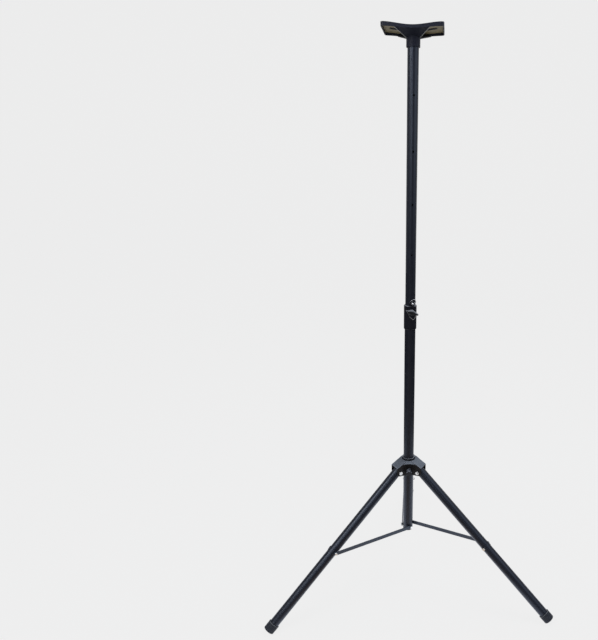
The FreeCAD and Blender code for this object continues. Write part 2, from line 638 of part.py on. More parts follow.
def hub_lock_knob():
    """Low round knob with finger scallops."""
    end = LOCK_KNOB_START + LOCK_KNOB_LENGTH
    knob = rod(LOCK_KNOB_RADIUS, LOCK_KNOB_START, end, X_AXIS)
    knob = knob.cut(rod(STUD_RADIUS, LOCK_KNOB_START, LOCK_KNOB_START + LOCK_KNOB_LENGTH / 2, X_AXIS))
    scallop_place = Y_AXIS * (LOCK_KNOB_RADIUS + SCALLOP_RADIUS - SCALLOP_DEPTH)
    scallop = rod(SCALLOP_RADIUS, LOCK_KNOB_START, end, X_AXIS, scallop_place)
    for i in range(SCALLOP_COUNT):
        knob = knob.cut(scallop.rotated(ORIGIN, X_AXIS, 360 * i / SCALLOP_COUNT))
    return turned(knob.translated(Z_AXIS * LOCK_HEIGHT), LOCK_AZIMUTH)


def hinge_bolt(azimuth):
    """Bolt across a hub arm; the leg turns on it."""
    shank = rod(HINGE_BOLT_RADIUS, -CHEEK_OUTER - HEX_NUT_THICKNESS - BOLT_TAIL, CHEEK_OUTER, Y_AXIS)
    head = rod(HINGE_HEAD_RADIUS, CHEEK_OUTER, CHEEK_OUTER + BOLT_HEAD_THICKNESS, Y_AXIS)
    return in_leg_frame(shank.fuse(head).removeSplitter(), azimuth)


def hinge_nut(azimuth):
    """Nut on the hinge bolt."""
    nut = hexagon(HINGE_HEX_WIDTH, -CHEEK_OUTER - HEX_NUT_THICKNESS, -CHEEK_OUTER, Y_AXIS, ORIGIN)
    return in_leg_frame(drilled(nut, HINGE_BOLT_RADIUS, Y_AXIS), azimuth)


# Legs

def leg_tube(azimuth):
    """Straight leg, drilled for the hinge and for the strut clip."""
    tube = pipe(LEG_RADIUS, LEG_BORE, -LEG_HEAD_RISE, LEG_LENGTH - FOOT_SOLE, X_AXIS)
    tube = drilled(tube, HINGE_BOLT_RADIUS + SLIDE_GAP, Y_AXIS)
    return in_leg_frame(drilled(tube, PIVOT_PIN_RADIUS, Y_AXIS, X_AXIS * STRUT_STATION), azimuth)


def leg_head(azimuth):
    """Plug in the leg's top end, bored for the hinge bolt."""
    plug = rod(LEG_BORE, -LEG_HEAD_RISE, LEG_HEAD_LENGTH - LEG_HEAD_RISE, X_AXIS)
    return in_leg_frame(drilled(plug, HINGE_BOLT_RADIUS + RUN_GAP, Y_AXIS), azimuth)


def foot_cap(azimuth):
    """Rubber cap over the leg's end, flat where it stands on the floor."""
    cap = rod(FOOT_RADIUS, LEG_LENGTH - FOOT_LENGTH, LEG_LENGTH, X_AXIS)
    end_rim = max(round_edges(cap), key=lambda edge: edge.CenterOfMass.x)
    cap = cap.makeFillet(FOOT_ROUNDING, [end_rim])
    cap = cap.cut(rod(LEG_RADIUS, 0, LEG_LENGTH - FOOT_SOLE, X_AXIS))
    cap = in_leg_frame(cap, azimuth)
    box = cap.BoundBox
    below = FreeCAD.Vector(box.XMin, box.YMin, -box.ZLength)
    return cap.cut(Part.makeBox(box.XLength, box.YLength, box.ZLength, below))


def strut_clip(azimuth):
    """Saddle over the leg with an ear on each side for the strut bolt."""
    start, end = STRUT_STATION - CLIP_WIDTH / 2, STRUT_STATION + CLIP_WIDTH / 2
    band = pipe(CLIP_FACE, LEG_RADIUS, start, end, X_AXIS)
    upper_half = Part.makeBox(CLIP_WIDTH, 2 * CLIP_FACE, CLIP_FACE, FreeCAD.Vector(start, -CLIP_FACE, 0))
    ear = rod(EAR_RADIUS, -CLIP_FACE, CLIP_FACE, Y_AXIS, X_AXIS * STRUT_STATION)
    clip = band.common(upper_half).fuse(ear)
    clip = drilled(clip, LEG_RADIUS, X_AXIS)
    clip = drilled(clip, PIVOT_PIN_RADIUS, Y_AXIS, X_AXIS * STRUT_STATION)
    return in_leg_frame(clip.removeSplitter(), azimuth)


def clip_bolt(azimuth):
    """Bolt through the clip and the leg, with its nut on the side away from the strut."""
    centre = X_AXIS * STRUT_STATION
    nut_end = -CLIP_FACE - HEX_NUT_THICKNESS
    shank = rod(PIVOT_PIN_RADIUS, nut_end - BOLT_TAIL, CLIP_FACE, Y_AXIS, centre)
    nut = hexagon(PIVOT_HEX_WIDTH, nut_end, -CLIP_FACE, Y_AXIS, centre)
    return in_leg_frame(shank.fuse(nut).removeSplitter(), azimuth)


# Struts

def strut(azimuth):
    """Flat bar with round ends, drilled for its two pivots."""
    half = STRUT_WIDTH / 2
    bar = Part.makeBox(STRUT_LENGTH, STRUT_THICKNESS, STRUT_WIDTH, FreeCAD.Vector(0, STRUT_FACE, -half))
    ends = [rod(half, STRUT_FACE, STRUT_BACK, Y_AXIS, X_AXIS * x) for x in (0, STRUT_LENGTH)]
    bar = drilled(bar.fuse(ends).removeSplitter(), PIVOT_PIN_RADIUS + RUN_GAP, Y_AXIS)
    return in_strut_frame(drilled(bar, PIVOT_PIN_RADIUS, Y_AXIS, X_AXIS * STRUT_LENGTH), azimuth)


def strut_rivet(azimuth):
    """Headed rivet at the strut's outer end, with a spacer towards the leg's clip."""
    centre = X_AXIS * STRUT_LENGTH
    shank = rod(PIVOT_PIN_RADIUS, STRUT_FACE, STRUT_BACK, Y_AXIS, centre)
    spacer = rod(SPACER_RADIUS, CLIP_FACE + SEAT_GAP, STRUT_FACE, Y_AXIS, centre)
    head = rod(SPACER_RADIUS, STRUT_BACK, STRUT_BACK + BOLT_HEAD_THICKNESS, Y_AXIS, centre)
    outer_rim = max(round_edges(head), key=lambda edge: edge.CenterOfMass.y)
    head = head.makeFillet(RIVET_ROUNDING, [outer_rim])
    return in_strut_frame(shank.fuse([spacer, head]).removeSplitter(), azimuth)


def all_nodes():
    """Every piece of the stand, by the name of its node."""
    single = (mast_tube, mast_end_plug, collar, clamp_nut, clamp_stud, clamp_knob, safety_pin, pin_ring,
              pin_ferrule, lanyard, anchor_screw, mast_ferrule, inner_pole, pole_foot_plug, pole_head_plug,
              tray, hub, hub_bush, hub_lock_nut, hub_lock_stud, hub_lock_knob)
    per_leg = (inner_bolt, hinge_bolt, hinge_nut, leg_tube, leg_head, foot_cap, strut_clip, clip_bolt,
               strut, strut_rivet)
    nodes = {maker.__name__: maker() for maker in single}
    for name, azimuth in LEG_AZIMUTHS.items():
        for maker in per_leg:
            nodes[f"{maker.__name__}_{name}"] = maker(azimuth)
    return nodes


os.makedirs("parts", exist_ok=True)
for node_name, node_shape in all_nodes().items():
    print(node_name, node_shape.isValid(), len(node_shape.Solids), round(node_shape.Volume))
    node_shape.exportStep(f"parts/{node_name}.step")
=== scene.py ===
import logging
import math
from collections.abc import Callable
from dataclasses import dataclass
from enum import Enum

import bmesh
import bpy
from mathutils import Matrix, Vector


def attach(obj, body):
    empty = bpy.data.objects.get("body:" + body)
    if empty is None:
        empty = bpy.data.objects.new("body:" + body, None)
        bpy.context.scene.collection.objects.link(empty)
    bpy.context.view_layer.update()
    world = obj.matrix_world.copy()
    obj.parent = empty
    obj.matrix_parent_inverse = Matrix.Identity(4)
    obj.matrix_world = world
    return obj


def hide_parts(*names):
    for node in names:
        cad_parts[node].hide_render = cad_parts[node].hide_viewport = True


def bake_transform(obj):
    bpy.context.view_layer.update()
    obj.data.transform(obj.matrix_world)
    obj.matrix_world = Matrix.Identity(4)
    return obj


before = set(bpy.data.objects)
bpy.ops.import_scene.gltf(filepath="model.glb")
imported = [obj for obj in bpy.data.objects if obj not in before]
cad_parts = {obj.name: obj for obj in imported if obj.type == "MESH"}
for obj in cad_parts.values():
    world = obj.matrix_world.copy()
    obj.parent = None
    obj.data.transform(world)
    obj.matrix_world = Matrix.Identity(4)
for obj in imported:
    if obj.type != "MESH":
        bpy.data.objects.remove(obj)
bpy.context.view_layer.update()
log = logging.getLogger("speaker_stand")

Colour = tuple[float, float, float]
Point = tuple[float, float, float]
Tone = Colour | bpy.types.NodeSocket
Inputs = dict[str | int, object]
X_AXIS = Vector((1, 0, 0))
Z_AXIS = Vector((0, 0, 1))

# Lengths are in metres and angles in degrees
MERGE_DISTANCE = 0.00001
FLAT_ANGLE = 0.6
SHARP_ANGLE = 38.0
EDGE_STRIPS = 2
SUNK_SHARE = 0.25

# Spans of the noise's values that a finish spreads out
NOISE_SPAN = (0.3, 0.7)
STAIN_SPAN = (0.45, 0.75)


class Side(Enum):
    """The three legs, by the name that their nodes end in."""

    LEFT = "left"
    RIGHT = "right"
    REAR = "rear"


LEG_AZIMUTHS = {Side.LEFT: 216.6, Side.RIGHT: 336.6, Side.REAR: 92.8}


# Finishes

class NodeSheet:
    """The node tree of one material, with short calls for the nodes that the finishes share."""

    def __init__(self, name: str) -> None:
        """Starts a material with its shader and Object coordinates.

        Args:
            name: Name of the material.
        """
        self.material = bpy.data.materials.new(name)
        self.material.use_nodes = True
        self.tree = self.material.node_tree
        self.shader = self.tree.nodes["Principled BSDF"]
        coordinates = self.tree.nodes.new("ShaderNodeTexCoord")
        self.place = coordinates.outputs["Object"]
        self.normal = coordinates.outputs["Normal"]

    def add(self, kind: str, inputs: Inputs, **settings: object) -> bpy.types.Node:
        """Adds a node, links the inputs that are sockets and sets the others.

        Args:
            kind: Blender's name of the node type.
            inputs: Values or sockets by the name or number of the input.
            settings: Properties of the node itself.

        Returns:
            The new node.
        """
        node = self.tree.nodes.new(kind)
        for name, value in settings.items():
            setattr(node, name, value)
        self.fill(node, inputs)
        return node

    def fill(self, node: bpy.types.Node, inputs: Inputs) -> None:
        """Links or sets inputs of a node.

        Args:
            node: Node that takes the inputs.
            inputs: Values or sockets by the name or number of the input.
        """
        for name, value in inputs.items():
            if isinstance(value, bpy.types.NodeSocket):
                self.tree.links.new(value, node.inputs[name])
            else:
                node.inputs[name].default_value = value

    def noise(self, scale: float, detail: float, stretch: Point = (1.0, 1.0, 1.0)) -> bpy.types.NodeSocket:
        """Grey noise in space.

        Args:
            scale: Features per metre.
            detail: Octaves of finer noise.
            stretch: Factor on the coordinates along each axis.

        Returns:
            Socket with values about 0.5.
        """
        place = self.add("ShaderNodeMapping", {"Vector": self.place, "Scale": stretch}).outputs[0]
        return self.add("ShaderNodeTexNoise", {"Vector": place, "Scale": scale, "Detail": detail}).outputs[0]

    def span(self, value: bpy.types.NodeSocket, start: tuple[float, float],
             end: tuple[float, float] = (0.0, 1.0)) -> bpy.types.NodeSocket:
        """Maps a value from one span to another, clamped.

        Args:
            value: Socket to map.
            start: Low and high value going in.
            end: Low and high value coming out.

        Returns:
            The mapped socket.
        """
        inputs = {"Value": value, "From Min": start[0], "From Max": start[1]}
        inputs |= {"To Min": end[0], "To Max": end[1]}
        return self.add("ShaderNodeMapRange", inputs).outputs[0]

    def tint(self, factor: float | bpy.types.NodeSocket, first: Tone, second: Tone,
             blend: str = "MIX") -> bpy.types.NodeSocket:
        """Mixes two colours, each a socket or three numbers.

        Args:
            factor: Share of the second colour.
            first: Colour at 0.
            second: Colour at 1.
            blend: Blender's name of the way of mixing.

        Returns:
            Socket with the mixed colour.
        """
        colours = [c if isinstance(c, bpy.types.NodeSocket) else (*c, 1.0) for c in (first, second)]
        # The node has inputs of one name for each data type, so the ones for colours go by number
        inputs = {0: factor, 6: colours[0], 7: colours[1]}
        return self.add("ShaderNodeMix", inputs, data_type="RGBA", blend_type=blend).outputs[2]

    def facing_up(self) -> bpy.types.NodeSocket:
        """Upward part of the piece's own surface normal, from -1 to 1."""
        return self.add("ShaderNodeSeparateXYZ", {0: self.normal}).outputs["Z"]

    def bump(self, height: bpy.types.NodeSocket, depth: float) -> bpy.types.NodeSocket:
        """Surface relief from a height socket.

        Args:
            height: Socket with values from 0 to 1.
            depth: Depth of the relief in metres.

        Returns:
            Socket with the bent normal.
        """
        return self.add("ShaderNodeBump", {"Height": height, "Strength": 1.0, "Distance": depth}).outputs[0]


@dataclass(frozen=True)
class TubePaint:
    """Stoved paint on steel: fine orange peel, cloudy gloss, a painted blue tint on its reflections and, on a
    sliding tube, drawn rub marks.
    """

    name: str
    slot: str
    colour: Colour = (0.0045, 0.0045, 0.0072)
    faded: Colour = (0.0066, 0.0066, 0.0100)
    gloss: tuple[float, float] = (0.32, 0.40)
    specular: float = 0.48
    # Painted reflection colour: tints every reflection on the paint blue, standing in for bluish light
    painted_reflection_tint: Colour = (0.70, 0.80, 1.0)
    rubbed: Colour = (0.016, 0.016, 0.019)
    rub_share: float = 0.0
    rub_span: tuple[float, float] = (0.66, 0.78)
    rub_strength: float = 0.8
    rub_scale: float = 260.0
    rub_stretch: Point = (1.0, 1.0, 0.02)
    cloud_scale: float = 14.0
    cloud_span: tuple[float, float] = (0.35, 0.7)
    fine_scale: float = 60.0
    peel_scale: float = 520.0
    peel_depth: float = 0.00001

    def material(self) -> bpy.types.Material:
        """Builds the painted material.

        Returns:
            The new material.
        """
        sheet = NodeSheet(self.name)
        cloud = sheet.noise(self.cloud_scale, detail=3.0)
        colour = sheet.tint(sheet.span(cloud, self.cloud_span), self.colour, self.faded)
        if self.rub_share > 0.0:
            marks = sheet.noise(self.rub_scale, detail=4.0, stretch=self.rub_stretch)
            rub_start, rub_end = self.rub_span
            marks = sheet.span(marks, (rub_start - self.rub_share, rub_end), (0.0, self.rub_strength))
            colour = sheet.tint(marks, colour, self.rubbed)
        peel = sheet.noise(self.peel_scale, detail=2.0)
        fine = sheet.noise(self.fine_scale, detail=5.0)
        sheet.fill(sheet.shader, {
            "Base Color": colour,
            "Roughness": sheet.span(fine, NOISE_SPAN, self.gloss),
            "Specular IOR Level": self.specular,
            # Painted reflection: the blue tint stands in for bluish light
            "Specular Tint": (*self.painted_reflection_tint, 1.0),
            "Normal": sheet.bump(peel, self.peel_depth),
        })
        return sheet.material


@dataclass(frozen=True)
class MouldedPlastic:
    """Spark-textured plastic with painted light and shade: upper faces, sides and undersides may differ in
    tone, paler where lit from above.
    """

    name: str
    slot: str
    # Painted light and shade: top is the lit tone of faces turned up, side and under the shaded tones of the
    # same plastic
    top: Colour
    side: Colour
    under: Colour
    roughness: tuple[float, float] = (0.42, 0.58)
    grain: float = 900.0
    grain_depth: float = 0.00006
    specular: float = 0.16
    lit_top_slope: tuple[float, float] = (0.25, 0.6)
    shaded_under_slope: tuple[float, float] = (-0.35, -0.7)
    cloud_scale: float = 45.0
    flow_span: tuple[float, float] = (0.3, 0.72)
    flow_shade: tuple[float, float] = (0.86, 1.12)

    def material(self) -> bpy.types.Material:
        """Builds the moulded material.

        Returns:
            The new material.
        """
        sheet = NodeSheet(self.name)
        upward = sheet.facing_up()
        # Painted light and shade: faces turned up blend to the lit top tone, faces turned down to the shaded
        # under tone
        colour = sheet.tint(sheet.span(upward, self.lit_top_slope), self.side, self.top)
        colour = sheet.tint(sheet.span(upward, self.shaded_under_slope), colour, self.under)
        cloud = sheet.noise(self.cloud_scale, detail=5.0)
        dark, light = ((shade,) * 3 for shade in self.flow_shade)
        flow = sheet.tint(sheet.span(cloud, self.flow_span), dark, light)
        colour = sheet.tint(1.0, colour, flow, blend="MULTIPLY")
        pebble = sheet.noise(self.grain, detail=3.0)
        sheet.fill(sheet.shader, {
            "Base Color": colour,
            "Roughness": sheet.span(cloud, NOISE_SPAN, self.roughness),
            "Specular IOR Level": self.specular,
            "Normal": sheet.bump(pebble, self.grain_depth),
        })
        return sheet.material


@dataclass(frozen=True)
class Rubber:
    """Matt rubber with fine pores and smears of dust."""

    name: str
    slot: str
    colour: Colour = (0.014, 0.0165, 0.023)
    dust: Colour = (0.024, 0.027, 0.035)
    roughness: tuple[float, float] = (0.5, 0.68)
    specular: float = 0.22
    pore_scale: float = 700.0
    pore_depth: float = 0.0001
    smear_scale: float = 60.0

    def material(self) -> bpy.types.Material:
        """Builds the rubber material.

        Returns:
            The new material.
        """
        sheet = NodeSheet(self.name)
        pores = sheet.noise(self.pore_scale, detail=4.0)
        smear = sheet.noise(self.smear_scale, detail=6.0)
        sheet.fill(sheet.shader, {
            "Base Color": sheet.tint(sheet.span(smear, STAIN_SPAN), self.colour, self.dust),
            "Roughness": sheet.span(smear, NOISE_SPAN, self.roughness),
            "Specular IOR Level": self.specular,
            "Normal": sheet.bump(pores, self.pore_depth),
        })
        return sheet.material


@dataclass(frozen=True)
class BareMetal:
    """Plated or turned metal with fine tool marks and a thin cloudy stain."""

    name: str
    slot: str
    colour: Colour
    stain: Colour
    roughness: tuple[float, float]
    marks: float = 1500.0
    mark_stretch: Point = (1.0, 1.0, 0.15)
    mark_depth: float = 0.00002
    stain_scale: float = 180.0

    def material(self) -> bpy.types.Material:
        """Builds the metal material.

        Returns:
            The new material.
        """
        sheet = NodeSheet(self.name)
        cloud = sheet.noise(self.stain_scale, detail=5.0)
        marks = sheet.noise(self.marks, detail=3.0, stretch=self.mark_stretch)
        sheet.shader.inputs["Metallic"].default_value = 1.0
        sheet.fill(sheet.shader, {
            "Base Color": sheet.tint(sheet.span(cloud, STAIN_SPAN), self.colour, self.stain),
            "Roughness": sheet.span(marks, NOISE_SPAN, self.roughness),
            "Normal": sheet.bump(marks, self.mark_depth),
        })
        return sheet.material


@dataclass(frozen=True)
class StagePaper:
    """Matt studio paper with a faint cloud in its tone and an even glow."""

    name: str
    colour: Colour
    glow: Colour
    shade: float = 0.99
    cloud_scale: float = 30.0
    roughness: float = 0.9

    def material(self) -> bpy.types.Material:
        """Builds the paper material.

        Returns:
            The new material.
        """
        sheet = NodeSheet(self.name)
        tone = sheet.span(sheet.noise(self.cloud_scale, detail=4.0), NOISE_SPAN)
        sheet.fill(sheet.shader, {
            "Base Color": sheet.tint(tone, tuple(self.shade * c for c in self.colour), self.colour),
            "Roughness": self.roughness,
            "Specular IOR Level": 0.0,
            "Emission Color": (*self.glow, 1.0),
            "Emission Strength": 1.0,
        })
        return sheet.material


Finish = TubePaint | MouldedPlastic | Rubber | BareMetal | StagePaper
# A finish for some faces, with the test of a face's middle and normal that picks them
Area = tuple[Finish, Callable[[Vector, Vector], bool]]


class Finishes:
    """Every finish of the stand; a material is built when a piece first asks for it."""

    PAINT = TubePaint("stoved_paint", "tube_paint")
    SLIDING_PAINT = TubePaint("rubbed_stoved_paint", "tube_paint", rub_share=0.06)
    CLIP = TubePaint("clip_paint", "strut_paint")
    STRUT = TubePaint("satin_strut_paint", "strut_paint", colour=(0.030, 0.036, 0.050),
                      faded=(0.040, 0.047, 0.062), gloss=(0.32, 0.42), specular=0.35)
    # Painted light and shade: where a plastic's top, side and under tones differ, the paler top stands for
    # light from above and the darker sides and undersides for shade; the pale tops of the collar, knobs, hub
    # and bush are painted highlights
    BLACK = MouldedPlastic("black_moulding", "black_plastic", top=(0.010, 0.010, 0.012),
                           side=(0.006, 0.006, 0.008), under=(0.004, 0.004, 0.005))
    COLLAR = MouldedPlastic("collar_moulding", "black_plastic", top=(0.150, 0.156, 0.175),
                            side=(0.0045, 0.0045, 0.0088), under=(0.004, 0.004, 0.005))
    KNOB = MouldedPlastic("knob_moulding", "black_plastic", top=(0.120, 0.123, 0.135),
                          side=(0.006, 0.006, 0.007), under=(0.004, 0.004, 0.005))
    LOCK = MouldedPlastic("lock_knob_moulding", "black_plastic", top=(0.110, 0.115, 0.130),
                          side=(0.020, 0.021, 0.026), under=(0.008, 0.008, 0.010))
    TRAY = MouldedPlastic("tray_moulding", "tray_plastic", top=(0.050, 0.052, 0.060),
                          side=(0.0132, 0.0148, 0.0250), under=(0.0096, 0.0110, 0.0185))
    TRAY_UNDERSIDE = MouldedPlastic("tray_underside", "tray_plastic", top=(0.156, 0.130, 0.074),
                                    side=(0.156, 0.130, 0.074), under=(0.156, 0.130, 0.074))
    # Painted highlight: the pale beads stand in for light caught along the webs' slanted edges
    WEB_EDGE_HIGHLIGHT = MouldedPlastic("web_bead", "tray_plastic", top=(0.240, 0.240, 0.230),
                              side=(0.240, 0.240, 0.230), under=(0.240, 0.240, 0.230))
    HUB = MouldedPlastic("hub_moulding", "hub_plastic", top=(0.088, 0.099, 0.119),
                         side=(0.0085, 0.0070, 0.0072), under=(0.006, 0.0055, 0.0055))
    # Painted highlight: the rounded edges of the hub and the lock knob are paler, standing in for light
    # caught along them
    HUB_EDGE_HIGHLIGHT = MouldedPlastic("painted_hub_edge_highlight", "hub_plastic", top=(0.170, 0.186, 0.220),
                              side=(0.012, 0.012, 0.014), under=(0.010, 0.010, 0.011))
    BUSH = MouldedPlastic("bush_moulding", "black_plastic", top=(0.150, 0.158, 0.176),
                          side=(0.010, 0.010, 0.013), under=(0.004, 0.004, 0.005))
    RUBBER = Rubber("foot_rubber", "rubber")
    # The lip's rubber is paler than the rest of the foot
    RUBBER_LIP = Rubber("pale_foot_lip", "rubber", colour=(0.085, 0.090, 0.098), dust=(0.120, 0.125, 0.130))
    ZINC = BareMetal("zinc_plate", "zinc", colour=(0.72, 0.72, 0.70),
                     stain=(0.52, 0.51, 0.47), roughness=(0.22, 0.40))
    CHROME = BareMetal("bright_chrome", "chrome", colour=(0.80, 0.80, 0.81),
                       stain=(0.68, 0.68, 0.68), roughness=(0.06, 0.14))
    RING = BareMetal("ring_wire", "chrome", colour=(0.52, 0.52, 0.53),
                     stain=(0.40, 0.40, 0.40), roughness=(0.12, 0.22))
    WIRE = BareMetal("wire_rope_steel", "wire", colour=(0.28, 0.27, 0.26),
                     stain=(0.17, 0.16, 0.15), roughness=(0.24, 0.40), marks=4000.0)
    DULL_STEEL = BareMetal("dulled_steel", "zinc", colour=(0.10, 0.10, 0.11),
                           stain=(0.06, 0.06, 0.06), roughness=(0.40, 0.55))
    BRASS = BareMetal("turned_brass", "brass", colour=(0.62, 0.45, 0.20),
                      stain=(0.42, 0.28, 0.12), roughness=(0.22, 0.38))
    FLOOR = StagePaper("studio_paper", colour=(0.03, 0.03, 0.03), glow=(0.825, 0.825, 0.825))
    SURROUND = StagePaper("pale_surround", colour=(0.03, 0.03, 0.03), glow=(0.825, 0.825, 0.825))
    NEAR_CARD = StagePaper("light_brown_card", colour=(0.050, 0.040, 0.035), glow=(0.62, 0.48, 0.38))
    FAR_CARD = StagePaper("brown_card", colour=(0.020, 0.014, 0.010), glow=(0.20, 0.155, 0.125))
    PALE_CARD = StagePaper("pale_card", colour=(0.080, 0.080, 0.080), glow=(1.25, 1.30, 1.42))
    DARK_CARD = StagePaper("dark_card", colour=(0.010, 0.010, 0.012), glow=(0.04, 0.04, 0.05))

    def __init__(self) -> None:
        """Starts with no material built."""
        self.built: dict[str, bpy.types.Material] = {}

    def of(self, finish: Finish) -> bpy.types.Material:
        """Material of a finish, built once.

        Args:
            finish: One of the finishes above.

        Returns:
            Its material.
        """
        if finish.name not in self.built:
            self.built[finish.name] = finish.material()
        return self.built[finish.name]


finishes = Finishes()


# Helpers that every sub-assembly uses

def dress(node: str, finish: Finish) -> None:
    """Gives a CAD node that stays in view a finish.

    Args:
        node: Name of the node.
        finish: Finish for all its slots.
    """
    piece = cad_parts[node]
    for slot in piece.material_slots:
        slot.material = finishes.of(finish)
    log.info("dressed %s with %s", node, finish.name)


def new_piece(name: str, shape: bmesh.types.BMesh, finish: Finish) -> bpy.types.Object:
    """Makes an object of a finished bmesh and frees the bmesh.

    Args:
        name: Name of the piece.
        shape: Its mesh, in the stand's frame.
        finish: Finish of its first slot.

    Returns:
        The new object, in the scene.
    """
    mesh = bpy.data.meshes.new(name)
    shape.to_mesh(mesh)
    shape.free()
    mesh.materials.append(finishes.of(finish))
    piece = bpy.data.objects.new(name, mesh)
    bpy.context.scene.collection.objects.link(piece)
    log.info("built %s", name)
    return piece


def soften(piece: bpy.types.Object, width: float, edge_finish: Finish | None = None) -> None:
    """Rounds the sharp edges of a piece with a bevel.

    Args:
        piece: Piece to finish.
        width: Width of the rounded edge in metres.
        edge_finish: Finish of the rounded edges, or none to keep the piece's own.
    """
    bevel = piece.modifiers.new("edge", "BEVEL")
    bevel.width = width
    bevel.segments = EDGE_STRIPS
    bevel.limit_method = "ANGLE"
    bevel.angle_limit = math.radians(SHARP_ANGLE)
    bevel.use_clamp_overlap = False
    bevel.harden_normals = True
    if edge_finish is not None:
        piece.data.materials.append(finishes.of(edge_finish))
        bevel.material = len(piece.data.materials) - 1


def moulded_copy(node: str, body: str, finish: Finish, width: float,
                 edge_finish: Finish | None = None, areas: tuple[Area, ...] = ()) -> None:
    """Replaces a CAD node with a copy whose sharp edges are rounded as a moulding's are.

    Args:
        node: Name of the node.
        body: Body that the copy moves with.
        finish: Finish of the copy.
        width: Width of the rounded edges in metres.
        edge_finish: Finish of the rounded edges, or none to keep the copy's own.
        areas: Finishes of some of its faces, each with a test of a face's middle and normal.
    """
    shape = bmesh.new()
    shape.from_mesh(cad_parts[node].data)
    bmesh.ops.remove_doubles(shape, verts=shape.verts, dist=MERGE_DISTANCE)
    bmesh.ops.dissolve_limit(shape, angle_limit=math.radians(FLAT_ANGLE), verts=shape.verts,
                             edges=shape.edges)
    shade_smooth(shape, angle=30.0)
    for face in shape.faces:
        face.material_index = 0
        for number, (_, inside) in enumerate(areas, start=1):
            if inside(face.calc_center_median(), face.normal):
                face.material_index = number
    piece = new_piece(node + "_moulded", shape, finish)
    for area_finish, _ in areas:
        piece.data.materials.append(finishes.of(area_finish))
    soften(piece, width, edge_finish)
    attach(piece, body)
    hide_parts(node)


def extruded(shape: bmesh.types.BMesh, ring: list[bmesh.types.BMVert]) -> list[bmesh.types.BMVert]:
    """Extrudes a closed ring of vertices, without moving it.

    Args:
        shape: Mesh that the ring belongs to.
        ring: The ring's vertices.

    Returns:
        Vertices of the new ring, in the old ring's places.
    """
    members = set(ring)
    touching = dict.fromkeys(edge for vertex in ring for edge in vertex.link_edges)
    edges = [edge for edge in touching if members.issuperset(edge.verts)]
    made = bmesh.ops.extrude_edge_only(shape, edges=edges)["geom"]
    return [item for item in made if isinstance(item, bmesh.types.BMVert)]


def shade_smooth(shape: bmesh.types.BMesh, angle: float = 35.0) -> None:
    """Smooths a mesh's faces and keeps its sharp edges sharp.

    Args:
        shape: Mesh to shade.
        angle: Angle in degrees from which an edge is sharp.
    """
    for face in shape.faces:
        face.smooth = True
    for edge in shape.edges:
        edge.smooth = edge.is_manifold and edge.calc_face_angle(0.0) < math.radians(angle)


def add_mirror_image(shape: bmesh.types.BMesh, axis: str) -> None:
    """Adds the mirror image of a whole mesh, across the stand's middle plane square to an axis."""
    bmesh.ops.mirror(shape, geom=shape.verts[:] + shape.edges[:] + shape.faces[:], axis=axis)


def turned_about_z(degrees: float) -> Matrix:
    """Turn about the mast's axis."""
    return Matrix.Rotation(math.radians(degrees), 4, "Z")


# Sub-assemblies

